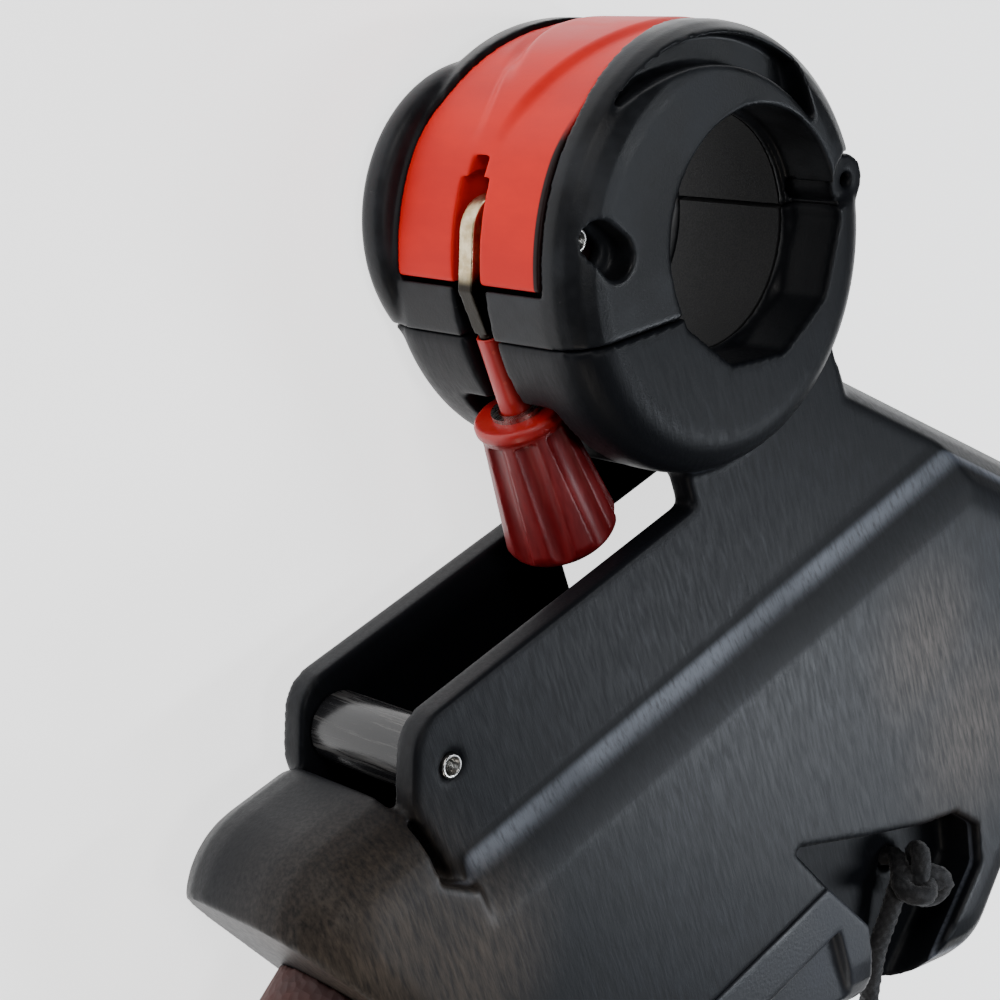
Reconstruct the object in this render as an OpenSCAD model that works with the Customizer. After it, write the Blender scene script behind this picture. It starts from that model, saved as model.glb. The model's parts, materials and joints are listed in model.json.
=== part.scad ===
// Windsurf boom head: a two-jaw mast clamp with a cam lever, a tension rod with a
// fluted knob, a moulded head with a roller between two cheeks, two boom-arm stubs
// and a knotted lashing rope.
// X runs towards the clamp's closure, Y runs aft, Z is the mast axis.

/* [Mast clamp] */
// Radius of the mast that the clamp grips
mast_r = 24.5; // [22:0.1:25]
// Outer radius of the clamp's round body
clamp_r = 45; // [44:0.5:47]
// Distance of the clamp body's centre from the mast axis
clamp_offset = 8; // [7:0.5:9]
// Length of the clamp along the mast
clamp_len = 58; // [54:1:62]
// Distance of the parting plane behind the mast axis
parting_y = 5.5; // [4.5:0.5:6]

/* [Lever] */
// Width of the lever along the mast
lever_w = 40; // [36:1:41]
// Thickness of the lever's shell
lever_t = 7.5; // [6:0.5:8]
// Angle round the clamp where the lever's lower edge lies
lever_start = 15; // [14:1:16]
// Angle round the clamp where the lever's tip lies
lever_end = 122; // [110:1:128]
// Travel of the cam pin between locked and released
cam_stroke = 4; // [3:0.5:4]

/* [Knob and rod] */
// Distance of the rod's axis from the mast axis, level with it
rod_x = 50.3; // [49.9:0.2:50.5]
// Radius of the threaded rod
rod_r = 2; // [1.5:0.5:2]
// Radius of the knob's rounded end
knob_r = 12.2; // [11.5:0.1:12.4]
// Length of the knob behind its washer
knob_len = 33; // [28:1:34]
// Number of flutes round the knob
knob_flutes = 8; // [6:1:10]

/* [Head body] */
// Half thickness of the moulded head
body_h = 24; // [22:1:26]
// Radius of the head's corners, seen along the mast
corner_r = 20; // [16:1:22]
// Distance between the inner faces of the cheeks
slot_w = 28; // [26:1:30]
// Thickness of each cheek
cheek_t = 6; // [5:0.5:7]

/* [Roller] */
// Radius of the roller
roller_r = 7.3; // [6:0.1:7.5]
// Radius of the hollow spring pins
pin_r = 2.5; // [2:0.1:2.5]

/* [Boom arms] */
// Radius of the boom tube
tube_r = 14.5; // [12:0.5:15]
// Radius of the grip sleeve on the tube
grip_r = 17.5; // [16:0.5:18.5]
// Length of tube that stands out of the head
tube_out = 58; // [50:1:70]
// Length of the grip sleeve
grip_len = 32; // [24:1:36]

/* [Rope] */
// Diameter of the lashing rope
rope_d = 5; // [4:0.5:5]

/* [Hidden] */
$fn = 64;
gap = 0.3;                          // clearance between pieces on different bodies
fit_gap = 0.05;                     // radial clearance of a running fit
half_len = clamp_len / 2;
liner_h = 14;                       // half length of the mast liners
liner_t = 2;
lever_h = lever_w / 2;
lever_r = clamp_r + 0.8;            // outer radius of the lever's shell
cam_x = 41.8;                       // place of the cam pin, lever locked
cam_y = -18.2;
cam_dir = 60;                       // direction of the cam pin's travel, from -X towards +Y
cam_dx = -cos(cam_dir) * cam_stroke;
cam_dy = sin(cam_dir) * cam_stroke;
heel_r = 11.9;                      // reach of the lever's heel round the cam pin
blade_r = 7.5;
blade_t = 3.8;
blade_slot = 7.5;                   // width of the lever's slot
key_slot = 4.3;                     // width of the narrow end of the lever's slot
key_y = -26.8;                      // where the slot narrows
key_depth = 6.4;                    // reach of its narrow end
rod_slot = 9;                       // width of the slot in the jaws
hinge_x = -31.5;
hinge_y = 2;
knuckle_r = 5.5;
knuckle_z = 11;                     // half length of the front jaw's middle knuckle
pin_half = 22;                      // half length of the hinge pin
seat_r = 34.3;                      // radius of the knob's seat round the cam pin
rod_tilt = 4.8;                     // lean of the rod towards the mast
// Places along the rod, from its point level with the mast axis
pin_along = (rod_x - cam_x) * sin(rod_tilt) + cam_y * cos(rod_tilt);
washer_y = pin_along + seat_r + 0.2;
washer_t = 1;
knob_y = washer_y + washer_t;       // front face of the knob's collar
stem_from = 0;                      // where the knob's stem begins
neck_y = 42;                        // plane where the rear jaw meets the head
cheek_y = 50;                       // front edge of the cheeks
cheek_out = slot_w / 2 + cheek_t;
slot_floor = 86;
slot_x0 = -8;                       // ends of the slot between the cheeks
slot_x1 = 118;
cheek_end = 110;                    // where the cheeks' fillets stop
web_x = -14;                        // middle of the web behind the slot
neck_w = 52;                        // width of the neck across the slot
neck_x = 1;                         // its middle
screw_rows = [neck_y + 8, neck_y + 18];
roller_x = 105;
roller_y = 62;
cover_y = 155.3;                    // seam of the aft cover
cover_screw_at = [[26, 169], [46, 165], [66, 161]];
face_x = 132;                       // centre of the right arm's end face
face_y = 110;
left_x = -86;                       // centre of the left arm's end face
left_y = 156;
arm_right = 25;                     // sweep of the right arm
arm_left = 180 - 47;                // sweep of the left arm, from +X towards +Y
socket = 30;                        // depth of each tube in the head
tube_t = 1.8;
spigot = 25;                        // length of the bare end of each tube

// Hand-set route of the rope: out of the knot, along its channel, over the aft
// edge, down to the ground and behind the head.
rope_route = [
    [-11, 178, 17], [-6, 185, 16], [0, 192, 15], [5, 199, 15], [8, 206, 14.5],
    [10, 212, 14], [12, 218, 11.5], [14, 223, 7], [15, 226, 1], [16, 228, -6],
    [17, 230, -13], [19, 233, -19], [23, 237, -23.5], [29, 241, -26], [37, 244, -26.5],
    [46, 245, -26.5], [56, 244, -26.5], [66, 242, -26.5], [76, 239, -26.5],
    [86, 237, -26.5]];
coil_x = 86;
coil_y = 208;
coil_r = 29;                        // radius of the middle of the coil's turns

function arc(cx, cy, r, a0, a1, n) =
    [for (i = [0 : n]) let (a = a0 + (a1 - a0) * i / n) [cx + r * cos(a), cy + r * sin(a)]];

// A round body of half height h whose two rims are rounded with radius e.
module round_disc(r, h, e, steps = 5) {
    rotate_extrude()
        polygon(concat([[0, -h]], arc(r - e, -h + e, e, -90, 0, steps),
            arc(r - e, h - e, e, 0, 90, steps), [[0, h]]));
}

// The same for the corners of hulled blocks.
module puck(x, y, r = corner_r, h = body_h, e = 16) {
    translate([x, y, 0])
        rotate_extrude($fn = 32)
            polygon(concat([[0, -h]], arc(r - e, -h + e, e, -90, 0, 5),
                arc(r - e, h - e, e, 0, 90, 5), [[0, h]]));
}

module slab(h) { linear_extrude(2 * h, center = true) children(); }

module rod_z(x, y, r, h) { translate([x, y, 0]) cylinder(r = r, h = 2 * h, center = true); }

// ---- clamp ----

// Round body with well rounded ends, and a lobe near the closure on its lower end.
module clamp_body() {
    translate([clamp_offset, 0, 0]) round_disc(clamp_r + 0.5, half_len, 9);
    translate([clamp_offset + 14.6, -11.4, -lever_h - 4.6]) round_disc(32, 3.6, 3);
}

// The zone in front of the parting line (side = -1) or behind it (side = 1).
module parting_zone(side) {
    y0 = parting_y + side * gap / 2;
    far = side * 90;
    slab(half_len + 1)
        polygon([[-70, y0], [27, y0], [54, y0 - 6], [80, y0 - 6], [80, far], [-70, far]]);
}

// Round bore, opened at both ends to a ten-sided mouth (flats) or a round one.
module mast_bore(flats) {
    cylinder(r = mast_r, h = clamp_len + 2, center = true);
    for (s = [-1, 1])
        translate([0, 0, s * (half_len - 6)])
            if (flats)
                rotate([0, 0, 18])
                    cylinder(r = (mast_r + 0.5) / cos(18), h = 14, center = true, $fn = 10);
            else
                cylinder(r = mast_r + 1.3, h = 14, center = true);
}

module liner_pocket() { cylinder(r = mast_r + liner_t, h = 2 * liner_h, center = true); }

// Crescent trenches beside the lever's tip, where the fingers reach its edges.
module finger_scoops() {
    for (s = [-1, 1])
        translate([0, 0, s * (half_len - 2.5)])
            linear_extrude(8, center = true)
                difference() {
                    translate([clamp_offset + 1, -1]) circle(r = clamp_r - 3);
                    translate([2 * clamp_offset, 4]) circle(r = clamp_r - 1.6);
                    translate([-60, -14]) square([120, 80]);
                    translate([-60, -60]) square([36, 80]);
                }
}

// Zone that narrows towards the lever's tip; grow widens it for the channel.
module lever_taper(grow) {
    edge = [[-40, 13], [-16, 13.5], [12, 17.5], [32, lever_h], [80, lever_h]];
    rotate([90, 0, 0])
        linear_extrude(150, center = true)
            polygon(concat([for (p = edge) [p[0], p[1] + grow]],
                [for (i = [len(edge) - 1 : -1 : 0]) [edge[i][0], -edge[i][1] - grow]]));
}

module cam_cavity() {
    slab(lever_h + gap)
        hull() {
            translate([cam_x, cam_y]) circle(r = heel_r + 0.4);
            translate([cam_x + cam_dx, cam_y + cam_dy]) circle(r = heel_r + 0.4);
        }
    intersection() {
        lever_taper(gap);
        slab(lever_h + gap)
            difference() {
                translate([clamp_offset, 0]) circle(r = clamp_r + 12);
                translate([clamp_offset, 0]) circle(r = lever_r - lever_t - gap);
                polygon(concat([[clamp_offset, 0]],
                    arc(clamp_offset, 0, 90, -lever_start - 3, 240 - lever_end, 12)));
            }
    }
}

module front_jaw() {
    color("#1b1c1e")
    difference() {
        union() {
            difference() {
                intersection() {
                    clamp_body();
                    parting_zone(-1);
                }
                // Room to swing past the rear jaw
                translate([hinge_x - 20, hinge_y - 5.5, -40]) cube([20, 20, 80]);
            }
            rod_z(hinge_x, hinge_y, knuckle_r, knuckle_z);
        }
        mast_bore(false);
        liner_pocket();
        for (s = [-1, 1])
            translate([hinge_x, hinge_y, s * (knuckle_z + 10 + gap / 2)])
                cylinder(r = knuckle_r + 0.5, h = 20 + gap, center = true);
        rod_z(hinge_x, hinge_y, pin_r + fit_gap, half_len);
        cam_cavity();
        finger_scoops();
        // Oval window that the cam pin travels in, with a wider recess round it
        hull() {
            rod_z(cam_x, cam_y, pin_r + gap, half_len);
            rod_z(cam_x + 1.1 * cam_dx, cam_y + 1.1 * cam_dy, pin_r + gap, half_len);
        }
        for (s = [-1, 1])
            translate([cam_x - 0.6, cam_y, s * (half_len - 2)])
                hull() {
                    cylinder(r = 4, h = 8, center = true);
                    translate([1.3 * cam_dx, 1.3 * cam_dy, 0]) cylinder(r = 4.4, h = 8, center = true);
                }
        // Slot of the rod in the ledge
        translate([33 + 20, 0, 0]) cube([40, 30, rod_slot], center = true);
    }
}

module rear_jaw() {
    color("#1b1c1e")
    difference() {
        union() {
            intersection() {
                clamp_body();
                parting_zone(1);
            }
            for (s = [-1, 1])
                translate([hinge_x, hinge_y, s * (knuckle_z + gap + 8)])
                    cylinder(r = knuckle_r, h = 16, center = true);
            translate([neck_x, neck_y - 9, 0]) cube([neck_w, 18, 2 * cheek_out], center = true);
            // Tenon in the head's web
            translate([web_x, neck_y + 12, 0]) cube([9, 26, 24], center = true);
        }
        mast_bore(true);
        liner_pocket();
        rod_z(hinge_x, hinge_y, knuckle_r + 0.5, knuckle_z + gap);
        rod_z(hinge_x, hinge_y, pin_r, pin_half);
        rod_z(hinge_x, hinge_y, 1.6, half_len);
        // Slot of the rod
        translate([42.5 + 20, 10, 0]) cube([40, 60, rod_slot], center = true);
        // Room for the knob, with a seat curved round the cam pin
        slab(knob_r + 0.9)
            difference() {
                translate([33.8, 8]) square([40, 60]);
                translate([cam_x, cam_y]) circle(r = seat_r);
            }
        for (y = screw_rows) translate([web_x, y, -13]) cylinder(r = 2, h = 20);
    }
}

module liner(side) {
    color("#2a2b2d")
    intersection() {
        difference() {
            cylinder(r = mast_r + liner_t, h = 2 * liner_h, center = true);
            cylinder(r = mast_r, h = 2 * liner_h + 1, center = true);
            // Clear of the knuckles as the jaw swings
            rod_z(hinge_x, hinge_y, knuckle_r + fit_gap, liner_h + 1);
        }
        translate([0, parting_y + side * 40.5, 0]) cube([60, 80, 60], center = true);
    }
}

module rear_liner() { liner(1); }
module front_liner() { liner(-1); }

module spring_pin(h) {
    difference() {
        cylinder(r = pin_r, h = 2 * h, center = true);
        cylinder(r = pin_r - 0.8, h = 2 * h + 1, center = true);
    }
}

module hinge_pin() { color("#a8a8a4") translate([hinge_x, hinge_y, 0]) spring_pin(pin_half); }

module cam_pin() {
    color("#a8a8a4")
    translate([cam_x, cam_y, 0])
        difference() {
            spring_pin(half_len - 6);
            cube([12, 12, blade_t + 0.6], center = true);
        }
}

// ---- lever ----

module lever_outline() {
    difference() {
        intersection() {
            translate([clamp_offset, 0]) circle(r = lever_r);
            union() {
                difference() {
                    polygon(concat([[clamp_offset, 0]],
                        arc(clamp_offset, 0, 90, -lever_start, -lever_end, 14)));
                    translate([clamp_offset, 0]) circle(r = lever_r - lever_t);
                }
                translate([cam_x, cam_y]) circle(r = 9);
                translate([cam_x + cam_dx * 0.8, cam_y + cam_dy * 0.8]) circle(r = 8.4);
            }
        }
        // The lower edge keeps inside the heel's reach
        difference() {
            translate([cam_x - 20, -12]) square([60, 40]);
            translate([cam_x, cam_y]) circle(r = heel_r);
        }
    }
}

module lever() {
    color("#d8261c")
    difference() {
        intersection() {
            slab(lever_h) lever_outline();
            lever_taper(0);
        }
        rod_z(cam_x, cam_y, pin_r + fit_gap, half_len);
        translate([45, key_y + 20, 0]) cube([60, 40, blade_slot], center = true);
        rod_z(cam_x, cam_y, heel_r, blade_slot / 2);
        translate([30, key_y - key_depth, -key_slot / 2]) cube([30, key_depth + 1, key_slot]);
    }
}

// ---- rod and knob ----

module along_rod(y) {
    translate([rod_x, 0, 0])
        rotate([0, 0, rod_tilt]) translate([0, y, 0]) rotate([-90, 0, 0]) children();
}

module eye_bolt() {
    color("#b89a5e")
    union() {
        difference() {
            hull() {
                rod_z(cam_x, cam_y, blade_r, blade_t / 2);
                along_rod(-6) cube([4, blade_t, 10], center = true);
            }
            rod_z(cam_x, cam_y, pin_r + 0.2, half_len);
        }
        along_rod(-2) cylinder(r = rod_r, h = knob_y + knob_len - 9 + 2);
    }
}

module thrust_washer() {
    color("#a8a8a4")
    along_rod(washer_y)
        difference() {
            cylinder(r = 5.4, h = washer_t);
            translate([0, 0, -1]) cylinder(r = 3.8, h = washer_t + 2);
        }
}

module knob() {
    color("#8c0f14")
    along_rod(knob_y)
        difference() {
            union() {
                // Collar, a body that widens, and a rounded end
                rotate_extrude()
                    polygon(concat([[0, 0], [knob_r - 3.2, 0], [knob_r - 2.6, 0.6], [knob_r - 2.6, 2.2],
                        [knob_r - 3.3, 3]], arc(knob_r - 5, knob_len - 5, 5, 8, 82, 6),
                        [[knob_r - 6, knob_len], [0, knob_len]]));
                // Neck that reaches up through the slot
                translate([0, 0, stem_from - knob_y])
                    cylinder(r1 = 2.7, r2 = 3.4, h = knob_y - stem_from + 0.5);
            }
            for (i = [0 : knob_flutes - 1])
                rotate([0, 0, i * 360 / knob_flutes])
                    translate([knob_r - 1.5, 0, 3.6])
                        rotate([0, 7, 0]) cylinder(r = 3.2, h = knob_len);
            translate([0, 0, -20]) cylinder(r = rod_r + fit_gap, h = 20 + knob_len - 8);
            translate([0, 0, 8]) cylinder(r = 4.6, h = 10, $fn = 6);
        }
}

module knob_insert() {
    color("#b89a5e")
    along_rod(knob_y + 8)
        difference() {
            cylinder(r = 4.6, h = 10, $fn = 6);
            translate([0, 0, -1]) cylinder(r = rod_r + fit_gap, h = 12);
        }
}

// ---- head ----

module head_block() {
    hull() {
        puck(133, 82);
        puck(110, 138);
        puck(50, 160);
        puck(8, 180);
        puck(20, 84);
    }
    hull() {
        puck(-15, 62);
        puck(-91, 136);
        puck(-58, 172);
        puck(-26, 194);
        puck(8, 180);
        puck(20, 84);
    }
}

module cheek(z0) {
    translate([0, 0, z0])
        linear_extrude(cheek_t)
            hull() {
                translate([20, cheek_y]) square([2, 40]);
                translate([roller_x - 1, cheek_y + 9]) circle(r = 9);
                translate([roller_x + 1, roller_y + 4]) circle(r = 10);
                translate([roller_x, 88]) square([6, 2]);
            }
}

module cover_zone(grow) {
    slab(body_h + 1)
        polygon([[20 - grow, cover_y - grow], [134, cover_y - grow], [134, 205], [6 - grow, 205],
            [9 - grow, 174]]);
}

module rope_channel() {
    translate([0, 0, 11.5])
        linear_extrude(30)
            polygon([[28, 138], [4, 152], [-16, 163], [-28, 168], [-35, 177], [-33, 188],
                [-20, 196], [-3, 206], [4, 240], [22, 240], [14, 200], [10, 174], [20, 155]]);
}

module arm_frame(right) {
    translate([right ? face_x : left_x, right ? face_y : left_y, 0])
        rotate([0, 0, right ? arm_right : arm_left]) rotate([0, 90, 0]) children();
}

module head_shell() {
    color("#1d1e20")
    difference() {
        union() {
            difference() {
                head_block();
                // Flat ends that the tubes leave by
                for (right = [true, false])
                    arm_frame(right) translate([0, 0, 50]) cube([120, 150, 100], center = true);
                translate([65, cheek_y + 5, 0]) cube([94, 50, 2 * body_h + 2], center = true);
                // The broad faces slope down into the cheeks
                for (s = [-1, 1])
                    translate([-60, 0, 0])
                        rotate([90, 0, 90])
                            linear_extrude(60 + cheek_end)
                                polygon([[20, s * cheek_out], [78, s * cheek_out],
                                    [83, s * (cheek_out + 1)], [89, s * (cheek_out + 2.6)],
                                    [97, s * (body_h + 0.2)], [97, s * 40], [20, s * 40]]);
                // Slit between the end of each cheek and the nose
                for (s = [-1, 1])
                    translate([0, 0, s * (slot_w / 2 + 20)])
                        linear_extrude(40, center = true)
                            polygon([[cheek_end + 1, 60], [slot_x1, 60], [slot_x1, 80], [cheek_end - 1, 88]]);
            }
            hull() {
                translate([neck_x, neck_y + 1, 0]) cube([neck_w, 2, 2 * cheek_out], center = true);
                puck(8, 90, 18, cheek_out, 12);
                puck(-16, 66, 18, cheek_out, 12);
            }
            cheek(slot_w / 2);
            cheek(-cheek_out);
        }
        // Saddle for the clamp's round back
        rod_z(clamp_offset, 0, clamp_r + 0.5 + fit_gap, half_len + 1);
        // Slot between the cheeks
        translate([slot_x0, 30, -slot_w / 2])
            cube([slot_x1 - slot_x0, slot_floor - 30, slot_w]);
        // Window in the far cheek
        translate([slot_x0 - 8, 61, -body_h - 5]) cube([53, 20, body_h + 5 - slot_w / 2 + 1]);
        rod_z(roller_x, roller_y, pin_r, cheek_out + 1);
        // Mortise of the rear jaw's tenon and its screws
        translate([web_x, neck_y + 12.5, 0]) cube([9.1, 26, 24.1], center = true);
        for (y = screw_rows)
            translate([web_x, y, -30]) {
                cylinder(r = 2, h = 30);
                cylinder(r = 4, h = 12);
            }
        cover_zone(0.15);
        rope_channel();
        translate([-14, 176, -2]) cylinder(r = 3, h = 30);
        for (right = [true, false])
            arm_frame(right) {
                translate([0, 0, -socket]) cylinder(r = tube_r, h = socket + 1);
                rotate([0, 90, 0]) translate([12, 0, 0]) cylinder(r = 2.4, h = body_h + 1);
            }
    }
}

module aft_cover() {
    color("#232426")
    difference() {
        intersection() {
            head_block();
            cover_zone(0);
        }
        rope_channel();
        translate([20, 168, body_h - 3]) cube([120, 60, 10]);
        for (at = cover_screw_at)
            translate([at.x, at.y, -body_h - 1]) {
                cylinder(r = 1.6, h = 14);
                cylinder(r = 3.2, h = 6);
            }
    }
}

module cover_screws() {
    color("#a8a8a4")
    for (at = cover_screw_at)
        translate([at.x, at.y, -body_h + 1]) {
            translate([0, 0, 1]) cylinder(r = 3.1, h = 3);
            translate([0, 0, 4]) cylinder(r = 1.6, h = 8);
        }
}

module jaw_screws() {
    color("#a8a8a4")
    for (y = screw_rows)
        translate([web_x, y, -18]) {
            cylinder(r = 2, h = 23);
            translate([0, 0, -2.5]) cylinder(r = 3.9, h = 2.5);
        }
}

module roller() {
    color("#0d0d0f")
    translate([roller_x, roller_y, 0])
        difference() {
            round_disc(roller_r, slot_w / 2 - gap, 0.8);
            cylinder(r = pin_r + fit_gap, h = slot_w, center = true);
        }
}

module roller_pin() {
    color("#c8c8c4") translate([roller_x, roller_y, 0]) spring_pin(cheek_out + 0.3);
}

module tube(right) {
    color("#18181a")
    arm_frame(right)
        translate([0, 0, -socket])
            difference() {
                union() {
                    cylinder(r = tube_r, h = socket + grip_len);
                    cylinder(r = tube_r - 0.5, h = socket + tube_out - 2);
                    translate([0, 0, socket + tube_out - spigot]) cylinder(r = tube_r - 0.2, h = spigot);
                }
                translate([0, 0, -1]) cylinder(r = tube_r - tube_t, h = socket + tube_out + 2);
                rotate([0, 90, 0]) translate([12 - socket, 0, 0]) cylinder(r = 2.4, h = 30);
            }
}

module tube_right() { tube(true); }
module tube_left() { tube(false); }

module grip(right) {
    color("#4a1e18")
    arm_frame(right)
        difference() {
            cylinder(r = grip_r, h = grip_len);
            translate([0, 0, -1]) cylinder(r = tube_r, h = grip_len + 2);
        }
}

module grip_right() { grip(true); }
module grip_left() { grip(false); }

module tube_plugs() {
    color("#2e2f31")
    for (right = [true, false])
        arm_frame(right)
            for (z = [-socket, tube_out - 6])
                translate([0, 0, z]) cylinder(r = tube_r - tube_t, h = 6);
}

module tube_rivets() {
    color("#a8a8a4")
    for (right = [true, false])
        arm_frame(right)
            rotate([0, 90, 0])
                translate([12, 0, tube_r - tube_t - 1]) {
                    cylinder(r = 2.4, h = body_h - tube_r + tube_t + 0.5);
                    translate([0, 0, body_h - tube_r + tube_t + 0.5]) cylinder(r = 3.6, h = 0.8);
                }
}

// ---- rope ----

// A tube of radius r swept along the points of path.
module sweep(path, r, sides = 8) {
    last = len(path) - 1;
    ring = [for (i = [0 : last])
        let (a = path[max(i - 1, 0)], b = path[min(i + 1, last)],
            t = (b - a) / norm(b - a),
            side = cross(t, abs(t[2]) > 0.9 ? [1, 0, 0] : [0, 0, 1]),
            u = side / norm(side), v = cross(u, t))
        for (k = [0 : sides - 1]) path[i] + r * (cos(k * 360 / sides) * u + sin(k * 360 / sides) * v)];
    walls = [for (i = [0 : last - 1], k = [0 : sides - 1])
        [i * sides + k, i * sides + (k + 1) % sides, (i + 1) * sides + (k + 1) % sides,
            (i + 1) * sides + k]];
    caps = [[for (k = [0 : sides - 1]) sides - 1 - k], [for (k = [0 : sides - 1]) last * sides + k]];
    polyhedron(ring, concat(walls, caps));
}

module ball(r) { rotate_extrude() polygon(arc(0, 0, r, -90, 90, 12)); }

module rope() { color("#141416") sweep(rope_route, rope_d / 2); }

module rope_knot() {
    color("#141416")
    union() {
        translate([-12, 177.5, 20]) ball(1.7 * rope_d);
        translate([-14, 176, 2]) cylinder(r = rope_d / 2, h = 14);
    }
}

module rope_coil() {
    color("#141416")
    translate([coil_x, coil_y, -29])
        rotate_extrude()
            polygon([[coil_r - rope_d, 0], [coil_r + rope_d, 0], [coil_r + rope_d, 2 * rope_d],
                [coil_r - rope_d, 2 * rope_d]]);
}

module rope_end_knot() {
    color("#141416") translate([coil_x, coil_y, -29 + 1.3 * rope_d]) ball(1.3 * rope_d);
}

rear_jaw();
rear_liner();
front_jaw();
front_liner();
hinge_pin();
lever();
cam_pin();
eye_bolt();
thrust_washer();
knob();
knob_insert();
head_shell();
aft_cover();
cover_screws();
jaw_screws();
roller();
roller_pin();
tube_right();
tube_left();
grip_right();
grip_left();
tube_plugs();
tube_rivets();
rope_knot();
rope();
rope_coil();
rope_end_knot();
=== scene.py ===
"""Looks of the windsurf boom head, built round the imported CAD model."""
import math

import bmesh
import bpy
from mathutils import Matrix, Vector
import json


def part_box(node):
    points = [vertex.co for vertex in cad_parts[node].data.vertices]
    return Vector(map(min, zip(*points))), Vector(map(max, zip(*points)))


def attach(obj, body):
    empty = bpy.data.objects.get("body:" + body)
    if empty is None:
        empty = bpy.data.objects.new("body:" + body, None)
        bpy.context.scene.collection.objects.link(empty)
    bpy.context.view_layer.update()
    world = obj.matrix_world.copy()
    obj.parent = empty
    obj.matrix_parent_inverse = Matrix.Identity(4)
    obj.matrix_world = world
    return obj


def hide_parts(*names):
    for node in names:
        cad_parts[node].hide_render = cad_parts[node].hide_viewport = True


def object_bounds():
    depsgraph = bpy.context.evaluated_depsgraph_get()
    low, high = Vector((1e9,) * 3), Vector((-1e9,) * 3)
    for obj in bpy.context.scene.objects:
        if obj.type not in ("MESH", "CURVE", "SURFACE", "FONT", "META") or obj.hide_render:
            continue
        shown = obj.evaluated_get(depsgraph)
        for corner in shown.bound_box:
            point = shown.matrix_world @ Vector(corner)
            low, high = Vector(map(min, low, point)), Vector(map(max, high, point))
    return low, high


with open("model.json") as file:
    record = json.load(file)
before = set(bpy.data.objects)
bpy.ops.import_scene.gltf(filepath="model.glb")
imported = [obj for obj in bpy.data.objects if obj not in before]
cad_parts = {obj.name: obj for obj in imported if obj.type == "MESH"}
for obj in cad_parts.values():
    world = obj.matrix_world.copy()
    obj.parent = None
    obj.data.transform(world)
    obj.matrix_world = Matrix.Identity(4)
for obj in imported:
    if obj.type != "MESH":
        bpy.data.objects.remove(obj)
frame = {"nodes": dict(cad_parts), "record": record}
cad_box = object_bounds()
MM = 0.001


# ---- camera and light ----

def make_camera():
    """Camera at the photograph's viewing angle, rolled as the photograph was."""
    right = Vector((-0.6754, 0.2605, 0.6899))
    up = Vector((-0.4935, -0.8548, -0.1604))
    forward = Vector((-0.5479, 0.4488, -0.7059))
    data = bpy.data.cameras.new("camera")
    data.lens = 79.2
    data.sensor_width = 36
    data.clip_start = 0.01
    camera = bpy.data.objects.new("camera", data)
    bpy.context.scene.collection.objects.link(camera)
    turn = Matrix((right, up, -forward)).transposed().to_4x4()
    camera.matrix_world = Matrix.Translation(Vector((302.48, -166.01, 312.75)) * MM) @ turn
    bpy.context.scene.camera = camera


def area_light(name, place, target, size, power, colour=(1, 1, 1)):
    data = bpy.data.lights.new(name, "AREA")
    data.shape = "RECTANGLE"
    data.size, data.size_y = size
    data.energy = power
    data.color = colour
    light = bpy.data.objects.new(name, data)
    bpy.context.scene.collection.objects.link(light)
    light.location = place
    light.rotation_euler = (Vector(target) - Vector(place)).to_track_quat("-Z", "Y").to_euler()


def make_lights():
    """A dim room, a key that skims the broad face, a strip for its slope, and three fills."""
    world = bpy.data.worlds.new("world")
    bpy.context.scene.world = world
    world.use_nodes = True
    background = world.node_tree.nodes["Background"]
    background.inputs["Color"].default_value = (0.85, 0.92, 1, 1)
    background.inputs["Strength"].default_value = 0.07
    area_light("skim", (-0.42, 0.5, 0.56), (0.03, 0.14, 0), (0.12, 0.3), 2.2, (0.86, 0.92, 1))
    area_light("fillet", (-0.36, 0.11, 0.62), (0.04, 0.09, 0), (0.04, 0.3), 1.5, (0.9, 0.95, 1))
    area_light("front", (0.3, -0.75, 0.5), (0.03, 0, 0), (0.3, 0.3), 2.6, (1, 0.97, 0.94))
    area_light("top", (0.25, -0.2, 1.3), (0.05, 0.1, 0), (0.3, 0.3), 3)
    area_light("nose", (0.6, 0.5, 0.35), (0.13, 0.1, 0), (0.15, 0.15), 0.8, (1, 0.9, 0.78))


def make_floor():
    mesh = bpy.data.meshes.new("floor")
    size = 6
    low = cad_box[0][2] - 0.0002
    corners = [(-size, -size, low), (size, -size, low), (size, size, low), (-size, size, low)]
    mesh.from_pydata(corners, [], [(0, 1, 2, 3)])
    floor = bpy.data.objects.new("floor", mesh)
    bpy.context.scene.collection.objects.link(floor)
    material = bpy.data.materials.new("floor")
    material.use_nodes = True
    shader = material.node_tree.nodes["Principled BSDF"]
    shader.inputs["Base Color"].default_value = (0.92, 0.92, 0.92, 1)
    shader.inputs["Roughness"].default_value = 0.9
    shader.inputs["Emission Color"].default_value = (1, 1, 1, 1)
    shader.inputs["Emission Strength"].default_value = 1.7
    mesh.materials.append(material)


# ---- materials ----

# Heights above the middle plane, and places along X and Y, that bound the nylon's painted shade and
# painted highlight
FOOT_RISE = (0.0203, 0.0208)        # lower side of the painted highlight line at the foot of the slope
FOOT_FALL = (0.0209, 0.0221)        # its upper side
CHEEK_FADE = (0.0215, 0.027)        # the cheeks' painted shade fades out over the slope
CLAMP_FADE = (0.035, 0.06)          # the clamp's painted shade fades out over the neck, along Y
NOSE_FADE = (0.106, 0.118)          # the painted highlight line ends before the nose, along X
NOSE_RUB = ((0.135, 0.085, 0.024), 0.038)
OTHER_RUBS = (((0.118, 0.1, 0.024), 0.03), ((-0.04, 0.15, 0.024), 0.036),
              ((-0.03, 0.12, 0.024), 0.03))



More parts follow.
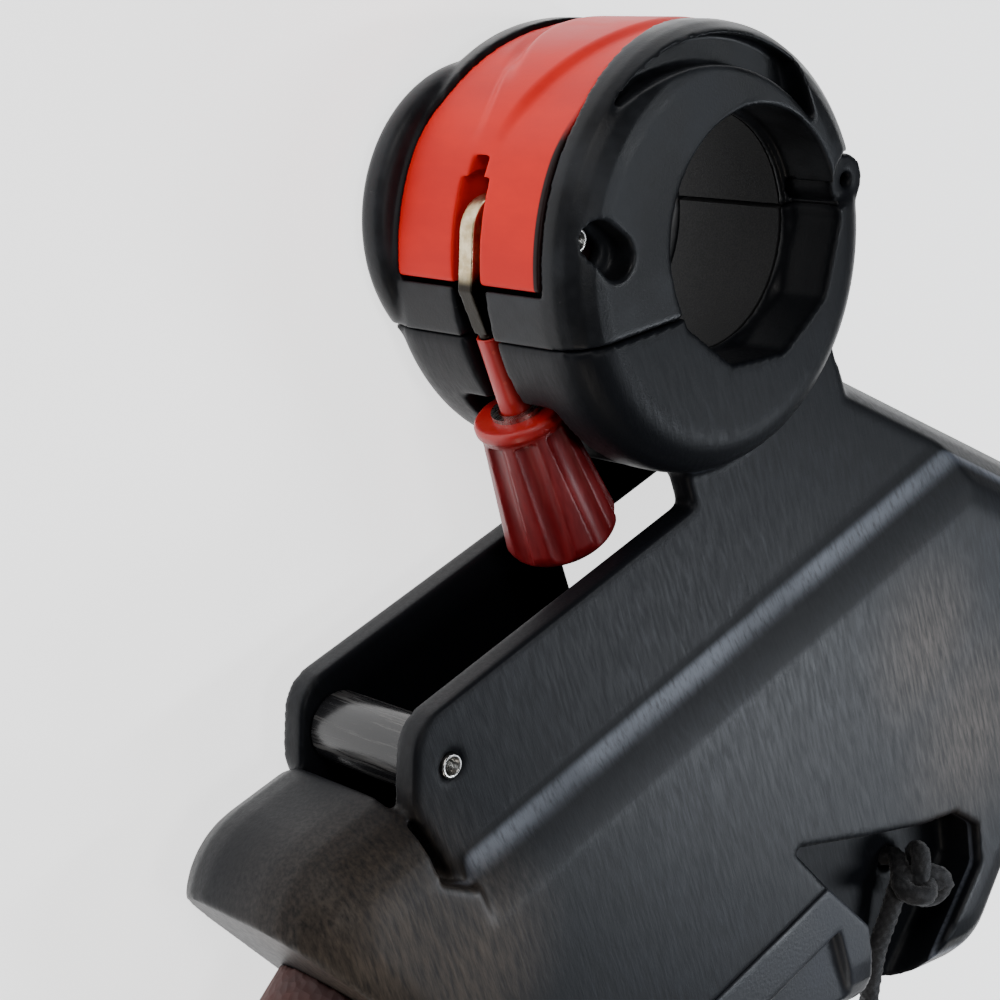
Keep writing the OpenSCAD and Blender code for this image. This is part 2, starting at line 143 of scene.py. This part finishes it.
class Look:
    """A Principled material with short calls for the nodes that feed it."""

    def __init__(self, name):
        self.material = bpy.data.materials.new(name)
        self.material.use_nodes = True
        self.tree = self.material.node_tree
        self.shader = self.tree.nodes["Principled BSDF"]
        self.coords = self.tree.nodes.new("ShaderNodeTexCoord").outputs["Object"]

    def fix(self, **sockets):
        for name, value in sockets.items():
            self.shader.inputs[name.replace("_", " ")].default_value = value

    def feed(self, value, socket):
        if hasattr(value, "links"):
            self.tree.links.new(value, socket)
        else:
            socket.default_value = value

    def noise(self, scale, stretch=(1, 1, 1), detail=4, rough=0.6, turn=0):
        mapping = self.tree.nodes.new("ShaderNodeMapping")
        mapping.inputs["Scale"].default_value = stretch
        mapping.inputs["Rotation"].default_value = (0, 0, turn)
        self.tree.links.new(self.coords, mapping.inputs["Vector"])
        noise = self.tree.nodes.new("ShaderNodeTexNoise")
        noise.inputs["Scale"].default_value = scale
        noise.inputs["Detail"].default_value = detail
        noise.inputs["Roughness"].default_value = rough
        self.tree.links.new(mapping.outputs["Vector"], noise.inputs["Vector"])
        return noise.outputs["Fac"]

    def math(self, kind, a, b=0.5, clamp=False):
        node = self.tree.nodes.new("ShaderNodeMath")
        node.operation = kind
        node.use_clamp = clamp
        self.feed(a, node.inputs[0])
        self.feed(b, node.inputs[1])
        return node.outputs[0]

    def ramp(self, value, low, high, out_low=0.0, out_high=1.0):
        node = self.tree.nodes.new("ShaderNodeMapRange")
        node.interpolation_type = "SMOOTHSTEP"
        self.feed(value, node.inputs["Value"])
        node.inputs["From Min"].default_value = low
        node.inputs["From Max"].default_value = high
        node.inputs["To Min"].default_value = out_low
        node.inputs["To Max"].default_value = out_high
        return node.outputs["Result"]

    def mix(self, factor, a, b):
        node = self.tree.nodes.new("ShaderNodeMix")
        node.data_type = "RGBA"
        self.feed(factor, node.inputs["Factor"])
        self.feed(a if hasattr(a, "links") else (*a, 1), node.inputs["A"])
        self.feed(b if hasattr(b, "links") else (*b, 1), node.inputs["B"])
        return node.outputs["Result"]

    def near(self, place, reach):
        """1 at a place given in metres, fading to 0 at the reach."""
        node = self.tree.nodes.new("ShaderNodeVectorMath")
        node.operation = "DISTANCE"
        self.tree.links.new(self.coords, node.inputs[0])
        node.inputs[1].default_value = place
        return self.ramp(node.outputs["Value"], 0, reach, 1, 0)

    def edges(self, low=0.52, high=0.62):
        geometry = self.tree.nodes.new("ShaderNodeNewGeometry")
        return self.ramp(geometry.outputs["Pointiness"], low, high)

    def axis(self, name):
        node = self.tree.nodes.new("ShaderNodeSeparateXYZ")
        self.tree.links.new(self.coords, node.inputs[0])
        return node.outputs[name]

    def bump(self, height, distance, strength=1.0):
        node = self.tree.nodes.new("ShaderNodeBump")
        node.inputs["Distance"].default_value = distance
        node.inputs["Strength"].default_value = strength
        self.tree.links.new(height, node.inputs["Height"])
        self.tree.links.new(node.outputs["Normal"], self.shader.inputs["Normal"])

    def colour(self, value):
        self.tree.links.new(value, self.shader.inputs["Base Color"])

    def roughness(self, value):
        self.tree.links.new(value, self.shader.inputs["Roughness"])


def black_nylon():
    """Satin moulded nylon with fine lengthwise scuffs and tan, rubbed high spots.

    The cheeks and the clamp get painted shade, darker and duller than the broad faces, and a
    painted highlight line follows the foot of the slope between them.
    """
    look = Look("black_nylon")
    grain = look.noise(1500, detail=3)
    streaks = look.noise(150, (8, 1, 8), detail=6, rough=0.62, turn=math.radians(-28))
    clouds = look.noise(22, detail=3)
    worn = look.math("MULTIPLY", look.ramp(streaks, 0.3, 0.8), look.ramp(clouds, 0.3, 0.75))
    tint = look.mix(worn, (0.006, 0.0068, 0.009), (0.024, 0.027, 0.037))
    rubbed = look.near(*NOSE_RUB)
    for place, reach in OTHER_RUBS:
        rubbed = look.math("MAXIMUM", rubbed, look.near(place, reach))
    rubbed = look.math("MULTIPLY", rubbed, look.ramp(streaks, 0.1, 0.95, 0, 0.9))
    edge = look.math("MULTIPLY", look.edges(0.54, 0.66), look.ramp(clouds, 0.45, 0.7))
    tan = look.math("MAXIMUM", rubbed, look.math("MULTIPLY", edge, 0.6))
    height = look.math("ABSOLUTE", look.axis("Z"))
    # Painted shade: the cheeks and the clamp end are darkened and given less specular, standing in
    # for shade
    aft = look.ramp(look.axis("Y"), *CLAMP_FADE)
    cheeks = look.ramp(height, *CHEEK_FADE, 1, 0)
    painted_shade = look.math("MAXIMUM", cheeks, look.ramp(aft, 0, 1, 1, 0))
    tint = look.mix(look.math("MULTIPLY", painted_shade, 0.8), tint, (0.004, 0.0045, 0.006))
    # Painted highlight: a light, streaked line along the foot of the slope, away from the clamp and
    # ending before the nose; it also gets more specular
    foot = look.math("MULTIPLY", look.ramp(height, *FOOT_RISE), look.ramp(height, *FOOT_FALL, 1, 0))
    beside = look.math("MULTIPLY", aft, look.ramp(look.axis("X"), *NOSE_FADE, 1, 0))
    foot = look.math("MULTIPLY", foot, beside)
    foot = look.math("MULTIPLY", foot, look.ramp(clouds, 0.3, 0.7, 0.45, 1))
    painted_highlight = look.math("MULTIPLY", foot, look.ramp(streaks, 0.1, 0.6))
    tint = look.mix(painted_highlight, tint, (0.12, 0.135, 0.17))
    look.colour(look.mix(tan, tint, (0.13, 0.1, 0.075)))
    look.roughness(look.ramp(streaks, 0.25, 0.8, 0.5, 0.38))
    shine = look.math("MAXIMUM", look.math("SUBTRACT", 1, painted_shade), foot)
    look.feed(look.ramp(shine, 0, 1, 0.14, 0.5), look.shader.inputs["Specular IOR Level"])
    look.bump(look.math("ADD", look.math("MULTIPLY", grain, 0.5), streaks), 0.00008, 0.5)
    return look.material


def clamp_nylon():
    """The same nylon, darker as painted shade and smoother, with a few light scratches."""
    look = Look("clamp_nylon")
    grain = look.noise(1800, detail=3)
    clouds = look.noise(45, detail=4)
    scratch = look.noise(60, (1, 14, 3), detail=6, rough=0.8, turn=0.9)
    lines = look.ramp(scratch, 0.66, 0.7)
    # Painted shade: a darker tint than black_nylon's broad faces, standing in for the clamp's shade
    tint = look.mix(look.ramp(clouds, 0.4, 0.7), (0.006, 0.0065, 0.008), (0.02, 0.022, 0.026))
    tint = look.mix(look.math("MULTIPLY", lines, 0.25), tint, (0.12, 0.12, 0.12))
    edge = look.math("MULTIPLY", look.edges(0.55, 0.68), look.ramp(clouds, 0.42, 0.62))
    look.colour(look.mix(edge, tint, (0.13, 0.11, 0.095)))
    look.roughness(look.ramp(clouds, 0.35, 0.7, 0.34, 0.5))
    look.fix(Specular_IOR_Level=0.18)
    look.bump(grain, 0.00008, 0.5)
    return look.material


def cover_nylon():
    look = Look("cover_nylon")
    grain = look.noise(1200, detail=3)
    clouds = look.noise(30)
    edge = look.math("MULTIPLY", look.edges(0.54, 0.64), 0.5)
    tint = look.mix(look.ramp(clouds, 0.4, 0.7), (0.009, 0.01, 0.014), (0.026, 0.029, 0.038))
    look.colour(look.mix(edge, tint, (0.14, 0.14, 0.15)))
    look.roughness(look.ramp(clouds, 0.3, 0.7, 0.4, 0.55))
    look.bump(grain, 0.0001, 0.6)
    return look.material


def rubber():
    look = Look("liner_rubber")
    grain = look.noise(2500)
    look.colour(look.mix(grain, (0.003, 0.003, 0.004), (0.009, 0.009, 0.01)))
    look.roughness(look.ramp(grain, 0.3, 0.7, 0.7, 0.85))
    look.bump(grain, 0.0001)
    return look.material


def lever_red():
    """Satin red nylon, a little orange on its high spots, with faint flow marks."""
    look = Look("lever_red")
    clouds = look.noise(70, (1, 1, 0.4), detail=4)
    grain = look.noise(1700, detail=3)
    edge = look.edges(0.53, 0.64)
    tint = look.mix(look.ramp(clouds, 0.35, 0.7), (0.55, 0.006, 0.003), (0.66, 0.01, 0.004))
    tint = look.mix(look.math("MULTIPLY", edge, 0.6), tint, (0.85, 0.06, 0.02))
    # Painted shade: the lever's sides near the oval window are darkened almost to black, standing in
    # for the shade inside the window
    side = look.ramp(look.math("ABSOLUTE", look.axis("Z")), 0.0185, 0.0192)
    painted_window_shade = look.math("MULTIPLY", side, look.near((0.0418, -0.0182, 0.02), 0.03))
    painted_window_shade = look.math("MULTIPLY", painted_window_shade, 3, True)
    look.colour(look.mix(painted_window_shade, tint, (0.012, 0.004, 0.004)))
    look.roughness(look.ramp(clouds, 0.3, 0.7, 0.36, 0.48))
    look.fix(Specular_IOR_Level=0.14)
    look.bump(look.math("ADD", clouds, look.math("MULTIPLY", grain, 0.3)), 0.00012, 0.6)
    return look.material


def knob_crimson():
    """Dark crimson nylon whose collar and neck are a lighter, scuffed red."""
    look = Look("knob_crimson")
    clouds = look.noise(90, detail=4)
    streaks = look.noise(130, (6, 1, 6), detail=5)
    high = look.ramp(look.axis("Y"), 0.0195, 0.0225, 1, 0)
    edge = look.math("MULTIPLY", look.edges(0.53, 0.62), look.ramp(clouds, 0.3, 0.6))
    edge = look.math("MULTIPLY", edge, high)
    tint = look.mix(look.ramp(streaks, 0.3, 0.8), (0.13, 0.002, 0.004), (0.2, 0.004, 0.006))
    tint = look.mix(look.math("MULTIPLY", high, 0.7), tint, (0.42, 0.008, 0.006))
    look.colour(look.mix(look.math("MULTIPLY", edge, 0.55), tint, (0.75, 0.08, 0.04)))
    look.roughness(look.ramp(streaks, 0.3, 0.7, 0.34, 0.46))
    look.bump(streaks, 0.00005, 0.3)
    return look.material


def eye_bronze():
    """Worn bronze at the eye, and painted shade darkening the thread below it."""
    look = Look("eye_bronze")
    marks = look.noise(400, (1, 1, 6), detail=5)
    spots = look.noise(240, detail=4)
    tint = look.mix(look.ramp(spots, 0.35, 0.7), (0.36, 0.28, 0.15), (0.66, 0.58, 0.4))
    # Painted shade: the thread side of the eye bolt is darkened, standing in for the shade it lies
    # in
    below = look.ramp(look.axis("Y"), -0.0145, -0.0115)
    look.colour(look.mix(below, tint, (0.02, 0.018, 0.015)))
    look.roughness(look.ramp(marks, 0.3, 0.75, 0.26, 0.46))
    look.bump(marks, 0.00006, 0.5)
    look.fix(Metallic=1.0)
    return look.material


def metal(name, low, high, rough, scale=400):
    """Metal with turned or drawn marks and dull spots."""
    look = Look(name)
    marks = look.noise(scale, (1, 1, 6), detail=5)
    spots = look.noise(240, detail=4)
    look.colour(look.mix(look.ramp(spots, 0.35, 0.7), low, high))
    look.roughness(look.ramp(marks, 0.3, 0.75, rough, rough + 0.2))
    look.bump(marks, 0.00006, 0.5)
    look.fix(Metallic=1.0)
    return look.material


def roller_black():
    """Polished black acetal with drawn marks along its length."""
    look = Look("roller_black")
    marks = look.noise(700, (1, 1, 0.04), detail=5, rough=0.7)
    lines = look.ramp(marks, 0.52, 0.68)
    look.colour(look.mix(lines, (0.01, 0.01, 0.011), (0.07, 0.068, 0.066)))
    look.roughness(look.ramp(marks, 0.35, 0.7, 0.16, 0.34))
    look.bump(marks, 0.00006, 0.5)
    return look.material


def carbon():
    """Glossy twill carbon, woven in bands round the tube."""
    look = Look("tube_carbon")
    weave = look.tree.nodes.new("ShaderNodeTexChecker")
    weave.inputs["Scale"].default_value = 420
    look.tree.links.new(look.coords, weave.inputs["Vector"])
    fibres = look.noise(2500, (1, 0.1, 1), turn=0.7)
    tint = look.mix(weave.outputs["Fac"], (0.006, 0.006, 0.007), (0.04, 0.041, 0.045))
    look.colour(look.mix(look.ramp(fibres, 0.4, 0.7, 0, 0.4), tint, (0.06, 0.06, 0.065)))
    look.roughness(look.ramp(weave.outputs["Fac"], 0, 1, 0.22, 0.4))
    look.bump(fibres, 0.00005, 0.4)
    look.fix(Coat_Weight=0.5, Coat_Roughness=0.08)
    return look.material


def foam():
    """Dark red-brown grip foam with an embossed grain."""
    look = Look("grip_foam")
    cells = look.tree.nodes.new("ShaderNodeTexVoronoi")
    cells.inputs["Scale"].default_value = 520
    look.tree.links.new(look.coords, cells.inputs["Vector"])
    clouds = look.noise(60)
    look.colour(look.mix(look.ramp(clouds, 0.35, 0.7), (0.035, 0.011, 0.01), (0.075, 0.022, 0.018)))
    look.roughness(look.ramp(clouds, 0.3, 0.7, 0.62, 0.8))
    look.bump(cells.outputs["Distance"], 0.0004, 0.7)
    return look.material


def rope_black():
    """Braided polyester: dull black yarn with a little sheen and grey fluff."""
    look = Look("rope_black")
    yarn = look.noise(4200, detail=3)
    fluff = look.noise(500)
    look.colour(look.mix(look.ramp(fluff, 0.45, 0.75), (0.012, 0.012, 0.014), (0.05, 0.05, 0.054)))
    look.roughness(look.ramp(yarn, 0.3, 0.7, 0.6, 0.85))
    look.bump(yarn, 0.00015, 0.8)
    look.fix(Sheen_Weight=0.25, Sheen_Roughness=0.4)
    return look.material


NYLON = black_nylon()
CLAMP = clamp_nylon()
STEEL = metal("spring_steel", (0.3, 0.29, 0.28), (0.62, 0.61, 0.58), 0.2)
BRONZE = metal("bronze", (0.36, 0.28, 0.15), (0.66, 0.58, 0.4), 0.28)
LOOKS = {
    "black_nylon": NYLON, "cover_nylon": cover_nylon(), "liner_rubber": rubber(),
    "lever_red": lever_red(), "knob_crimson": knob_crimson(), "spring_steel": STEEL,
    "bronze": BRONZE, "roller_black": roller_black(), "tube_carbon": carbon(),
    "grip_foam": foam(), "plug_plastic": cover_nylon(), "rope_black": rope_black()}
SLOTS = {part["node"]: part["material_slot"] for part in frame["record"]["subparts"]}


def paint_nodes():
    """Every CAD node gets the material of its slot."""
    for name, node in frame["nodes"].items():
        node.data.materials.clear()
        node.data.materials.append(LOOKS[SLOTS[name]])


# ---- mesh helpers ----

def add_piece(name, mesh, body, slot, nodes=(), material=None):
    """Links a piece, paints it, and says what it rides on, is made of and replaces."""
    piece = bpy.data.objects.new(name, mesh)
    bpy.context.scene.collection.objects.link(piece)
    mesh.materials.clear()
    mesh.materials.append(material or LOOKS[slot])
    for face in mesh.polygons:
        face.use_smooth = True
    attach(piece, body)
    if nodes:
        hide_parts(*nodes)
    return piece


def settle(mesh, *steps):
    """The mesh after these modifiers, each given as (type, settings)."""
    work = bpy.data.objects.new("work", mesh)
    bpy.context.scene.collection.objects.link(work)
    for kind, settings in steps:
        modifier = work.modifiers.new(kind.lower(), kind)
        for key, value in settings.items():
            setattr(modifier, key, value)
    depsgraph = bpy.context.evaluated_depsgraph_get()
    result = bpy.data.meshes.new_from_object(work.evaluated_get(depsgraph))
    bpy.data.objects.remove(work)
    return result


def joined_mesh(nodes):
    """One mesh of several CAD nodes."""
    joined = bmesh.new()
    for name in nodes:
        joined.from_mesh(frame["nodes"][name].data)
    mesh = bpy.data.meshes.new("joined")
    joined.to_mesh(mesh)
    joined.free()
    return mesh


def moulded(name, nodes, body, slot, voxel, passes, shape=None, material=None):
    """CAD nodes remeshed with the soft edges of a moulding, and shaped point by point."""
    mesh = settle(joined_mesh(nodes),
                  ("REMESH", {"mode": "VOXEL", "voxel_size": voxel * MM}),
                  ("SMOOTH", {"factor": 0.5, "iterations": passes}))
    if shape:
        for vertex in mesh.vertices:
            vertex.co = shape(vertex.co)
    return add_piece(name, mesh, body, slot, nodes, material)


def smoothstep(value, low, high):
    t = min(max((value - low) / (high - low), 0), 1)
    return t * t * (3 - 2 * t)


# ---- clamp ----

CLAMP_CENTRE = Vector((8, 0, 0)) * MM
LEVER_REACH = 42 * MM               # points farther out than this are on the lever's back


def lever_shape(point):
    """Leaves a pad that widens towards the tip, sinks its sides and a crescent beside it."""
    out = Vector((point.x, point.y, 0)) - CLAMP_CENTRE
    if out.length < LEVER_REACH:
        return point
    angle = math.degrees(math.atan2(-out.y, out.x))
    across = point.z / MM
    half_width = 3 + 11 * smoothstep(angle, 48, 108)
    inside = 1 - smoothstep(abs(across), half_width - 1.5, half_width + 2)
    along = smoothstep(angle, 46, 66)
    crescent_at = -3 - 9 * math.sin(math.radians(min(max((angle - 66) * 2.6, 0), 90)))
    trench = math.exp(-((across - crescent_at) / 1.8) ** 2)
    trench *= smoothstep(angle, 66, 84) * (1 - smoothstep(angle, 108, 118))
    lift = -1.3 * (1 - inside) * along - 1.7 * trench
    return point + out.normalized() * lift * MM


def make_clamp():
    moulded("front_jaw_moulding", ["front_jaw"], "front_jaw", "black_nylon", 0.55, 4, material=CLAMP)
    moulded("lever_moulding", ["lever"], "lever", "lever_red", 0.45, 4, lever_shape)
    moulded("knob_moulding", ["knob"], "knob", "knob_crimson", 0.32, 3)
    moulded("eye_bolt_forging", ["eye_bolt"], "rod", "bronze", 0.3, 2, material=eye_bronze())


# ---- head ----

def make_head():
    moulded("head_moulding", ["rear_jaw", "head_shell"], "head", "black_nylon", 0.85, 5)
    moulded("aft_cover_moulding", ["aft_cover"], "head", "cover_nylon", 0.7, 3)
    for side in ("right", "left"):
        moulded("grip_sleeve_" + side, ["grip_" + side], "head", "grip_foam", 0.7, 4)


# ---- turned pieces ----

def lathe(profile, place, axis, sides=48, lobes=()):
    """Turns (radius, height) points in mm round an axis through a place in metres.

    The profile rows numbered in lobes get the six-lobed outline of a driver's socket.
    """
    mesh = bpy.data.meshes.new("turned")
    turn = Vector((0, 0, 1)).rotation_difference(Vector(axis)).to_matrix()
    points = []
    for row, (reach, height) in enumerate(profile):
        for k in range(sides):
            angle = 2 * math.pi * k / sides
            radius = reach * (1 + 0.14 * math.cos(6 * angle)) if row in lobes else reach
            local = Vector((radius * math.cos(angle), radius * math.sin(angle), height)) * MM
            points.append(turn @ local + Vector(place))
    count = len(profile)
    faces = []
    for i in range(count):
        j = (i + 1) % count
        for k in range(sides):
            n = (k + 1) % sides
            faces.append((i * sides + k, i * sides + n, j * sides + n, j * sides + k))
    mesh.from_pydata(points, [], faces)
    work = bmesh.new()
    work.from_mesh(mesh)
    bmesh.ops.remove_doubles(work, verts=work.verts, dist=1e-7)
    bmesh.ops.recalc_face_normals(work, faces=work.faces)
    work.to_mesh(mesh)
    work.free()
    return mesh


def round_corner(radius, height, bevel, towards, steps=3):
    """Points round a turned outer corner; towards is the way the profile goes on in height."""
    points = []
    for k in range(steps + 1):
        a = math.pi / 2 * k / steps
        rise = towards * bevel * (1 - math.cos(a))
        points.append((radius - bevel + bevel * math.sin(a), height + rise))
    return points


def ring_profile(outer, inner, low, high, bevel):
    """A hollow turned piece with rounded outer rims."""
    rise = round_corner(outer, low, bevel, 1)
    fall = round_corner(outer, high, bevel, -1)[::-1]
    return [(inner, low + bevel / 2), (inner + bevel / 2, low)] + rise + fall + [
        (inner + bevel / 2, high), (inner, high - bevel / 2)]


def middle(node):
    low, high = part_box(node)
    return (Vector(low) + Vector(high)) / 2


def merged(meshes):
    """One mesh of several, which are used up."""
    work = bmesh.new()
    for mesh in meshes:
        work.from_mesh(mesh)
        bpy.data.meshes.remove(mesh)
    result = bpy.data.meshes.new("merged")
    work.to_mesh(result)
    work.free()
    return result


THREAD_PITCH = 0.7
COVER_SCREWS = ((26, 169), (46, 165), (66, 161))
JAW_SCREWS = ((-14, 50), (-14, 60))


def screw(place, head_r, head_h, shank_r, shank):
    """A pan-head screw that points up from its head at a place in metres."""
    socket = 0.45 * head_r
    profile = [(0.001, 0.75 * head_h), (socket, 0.75 * head_h), (socket, 0.1), (socket + 0.15, 0)]
    profile += round_corner(head_r, 0, 0.35 * head_h, 1)
    profile += [(head_r, head_h), (shank_r, head_h)]
    turns = int(shank / THREAD_PITCH)
    for k in range(turns):
        start = head_h + THREAD_PITCH * k
        profile += [(shank_r, start + 0.2), (0.8 * shank_r, start + 0.45)]
    profile += [(0.001, head_h + THREAD_PITCH * turns)]
    return lathe(profile, place, (0, 0, 1), lobes=(1, 2))


def make_screws():
    """The aft cover's and the rear jaw's screws, one under each of their CAD solids."""
    cover_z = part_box("cover_screws")[0][2]
    covers = [screw((x * MM, y * MM, cover_z), 3.1, 3, 1.6, 9) for x, y in COVER_SCREWS]
    add_piece("cover_screw_set", merged(covers), "head", "spring_steel", ["cover_screws"])
    jaw_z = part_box("jaw_screws")[0][2]
    jaws = [screw((x * MM, y * MM, jaw_z), 3.9, 2.5, 2, 22) for x, y in JAW_SCREWS]
    add_piece("jaw_screw_set", merged(jaws), "head", "spring_steel", ["jaw_screws"])


def make_turned():
    """The hollow spring pins, the cam pin's two stubs and the roller."""
    pin = 2.5
    bore = pin - 0.8
    for node in ("roller_pin", "hinge_pin"):
        low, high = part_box(node)
        half = (high[2] - low[2]) / 2 / MM
        mesh = lathe(ring_profile(pin, bore, -half, half, 0.3), middle(node), (0, 0, 1))
        add_piece(node + "_turned", mesh, "head", "spring_steel", [node])
    reach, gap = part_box("cam_pin")[1][2] / MM, 2.2
    x, y = middle("cam_pin")[:2]
    stub = ring_profile(pin, bore, gap, reach, 0.3)
    stubs = [lathe(stub, (x, y, 0), (0, 0, side)) for side in (1, -1)]
    add_piece("cam_pin_turned", merged(stubs), "cam_pin", "spring_steel", ["cam_pin"])
    low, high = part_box("roller")
    half = (high[2] - low[2]) / 2 / MM
    reach = (high[0] - low[0]) / 2 / MM
    mesh = lathe(ring_profile(reach, pin + 0.1, -half, half, 0.7), middle("roller"), (0, 0, 1), 72)
    add_piece("roller_turned", mesh, "roller", "roller_black", ["roller"])


# ---- rope ----

COIL_CENTRE = (86, 208)
COIL_ROWS = [(31.5, -26.5), (26.5, -26.5), (31.5, -21.5), (26.5, -21.5)]  # radius, height in mm
ROUTE = [
    (-11, 178, 17), (-6, 185, 16), (0, 192, 15), (5, 199, 15), (8, 206, 14.5), (10, 212, 14),
    (12, 218, 11.5), (14, 223, 7), (15, 226, 1), (16, 228, -6), (17, 230, -13), (19, 233, -19),
    (23, 237, -23.5), (29, 241, -26), (37, 244, -26.5), (46, 245, -26.5), (56, 244, -26.5),
    (66, 242, -26.5), (76, 239, -26.5), (86, 237, -26.5)]


def coil_point(radius, angle, height):
    x, y = COIL_CENTRE
    return (x + radius * math.cos(angle), y + radius * math.sin(angle), height)


def coil_turns():
    """Four turns in two layers, then the end spirals in to its knot."""
    points = []
    steps = 28
    start = (29.0, -26.5)
    for index, (radius, height) in enumerate(COIL_ROWS):
        for k in range(1, steps + 1):
            share = smoothstep(k / steps, 0, 0.22) if index == 0 else 1
            from_r, from_z = start
            r = from_r + (radius - from_r) * share
            z = from_z + (height - from_z) * share
            if index < len(COIL_ROWS) - 1:
                next_r, next_z = COIL_ROWS[index + 1]
                late = smoothstep(k / steps, 0.6, 0.93)
                r += (next_r - r) * late
                z += (next_z - z) * late
            angle = math.pi / 2 - 2 * math.pi * k / steps
            points.append(coil_point(r, angle, z))
        start = (radius, height)
    inward = 16                     # points of the last stretch, in towards the coil's middle
    last_r, last_z = COIL_ROWS[-1]
    for k in range(1, inward + 1):
        t = k / inward
        r = last_r - 21.5 * t
        angle = math.pi / 2 - math.radians(150) * t
        z = last_z - 4.5 * smoothstep(t, 0.2, 0.7)
        points.append(coil_point(r, angle, z))
    return points


def smooth_path(points, step):
    """Evenly spaced points on a Catmull-Rom curve, in the unit of the given points."""
    points = [Vector(p) for p in points]
    ends = [2 * points[0] - points[1]] + points + [2 * points[-1] - points[-2]]
    dense = []
    for i in range(1, len(ends) - 2):
        a, b, c, d = ends[i - 1:i + 3]
        count = max(2, int((c - b).length / step * 4))
        for k in range(count):
            t = k / count
            dense.append(0.5 * ((2 * b) + (c - a) * t + (2 * a - 5 * b + 4 * c - d) * t * t
                                + (3 * b - a - 3 * c + d) * t ** 3))
    dense.append(points[-1])
    even = [dense[0]]
    walked = 0.0
    for a, b in zip(dense, dense[1:]):
        span = (b - a).length
        while span > 0 and walked + span >= step:
            share = (step - walked) / span
            a = a.lerp(b, share)
            span = (b - a).length
            walked = 0.0
            even.append(a.copy())
        walked += span
    if (even[-1] - points[-1]).length > 0.3 * step:
        even.append(points[-1])
    else:
        even[-1] = points[-1]
    return even


def braid(points, radius, sides=28, yarns=7, pitch=2.6):
    """A braided rope in mm round evenly spaced points, its yarns raised as lozenges."""
    mesh = bpy.data.meshes.new("braid")
    step = (points[1] - points[0]).length
    tangent = (points[1] - points[0]).normalized()
    side = tangent.orthogonal().normalized()
    rings = []
    last = len(points) - 1
    for i, point in enumerate(points):
        ahead = (points[min(i + 1, last)] - points[max(i - 1, 0)]).normalized()
        side = (side - ahead * side.dot(ahead)).normalized()
        up = ahead.cross(side)
        fade = min(1, (min(i, last - i) + 0.5) * step / radius)
        end = math.sqrt(max(0.05, 1 - (1 - fade) ** 2))
        for k in range(sides):
            angle = 2 * math.pi * k / sides
            walk = math.pi * i * step / pitch
            a = yarns * angle / 2 + walk
            b = yarns * angle / 2 - walk
            lift = abs(math.sin(a) * math.sin(b))
            reach = radius * end * (0.8 + 0.2 * math.sqrt(lift))
            rings.append((point + (side * math.cos(angle) + up * math.sin(angle)) * reach) * MM)
    faces = []
    for i in range(last):
        for k in range(sides):
            n = (k + 1) % sides
            faces.append((i * sides + k, i * sides + n, (i + 1) * sides + n, (i + 1) * sides + k))
    faces.append(tuple(reversed(range(sides))))
    faces.append(tuple(last * sides + k for k in range(sides)))
    mesh.from_pydata([tuple(v) for v in rings], [], faces)
    return mesh


def knot_path(centre, turn, size):
    """An overhand knot: a tight trefoil with its two ends led out."""
    points = []
    for k in range(25):
        t = math.radians(35 + 650 * k / 24)
        x = math.sin(t) + 1.5 * math.sin(2 * t)
        y = math.cos(t) - 1.5 * math.cos(2 * t)
        z = -0.9 * math.sin(3 * t)
        points.append(Vector(centre) + turn @ (Vector((x, y, z)) * size))
    return points


ROPE_STEP = 0.5
KNOT_SIZE = 2.8
KNOT_CENTRE = (-14, 179, 21)
KNOT_LEAD = [(-14, 176, 3), (-14, 176, 9), (-14.5, 175.5, 14)]      # up from the hole under it
KNOT_TAIL = [(-10, 181, 18.5), (-8.5, 182.5, 17)]                   # out beside the rope's start


def make_rope():
    """The rope with its stored coil, the knot in the recess and the knot at its end."""
    path = smooth_path(ROUTE + coil_turns(), ROPE_STEP)
    rope = add_piece("rope_braid", braid(path, 2.5), "head", "rope_black", ["rope", "rope_coil"])
    turn = Matrix.Rotation(math.radians(-35), 3, "Z") @ Matrix.Rotation(math.radians(25), 3, "X")
    for name, centre, node in (("lashing_knot", KNOT_CENTRE, "rope_knot"),
                               ("end_knot", (*COIL_CENTRE, -21), "rope_end_knot")):
        loop = smooth_path(knot_path(centre, turn, KNOT_SIZE), ROPE_STEP)
        if name == "lashing_knot":
            loop = smooth_path(KNOT_LEAD + loop[::4] + KNOT_TAIL, ROPE_STEP)
        add_piece(name, braid(loop, 2.45), "head", "rope_black", [node])


make_camera()
make_rope()
paint_nodes()
make_clamp()
make_head()
make_turned()
make_screws()
make_floor()
make_lights()
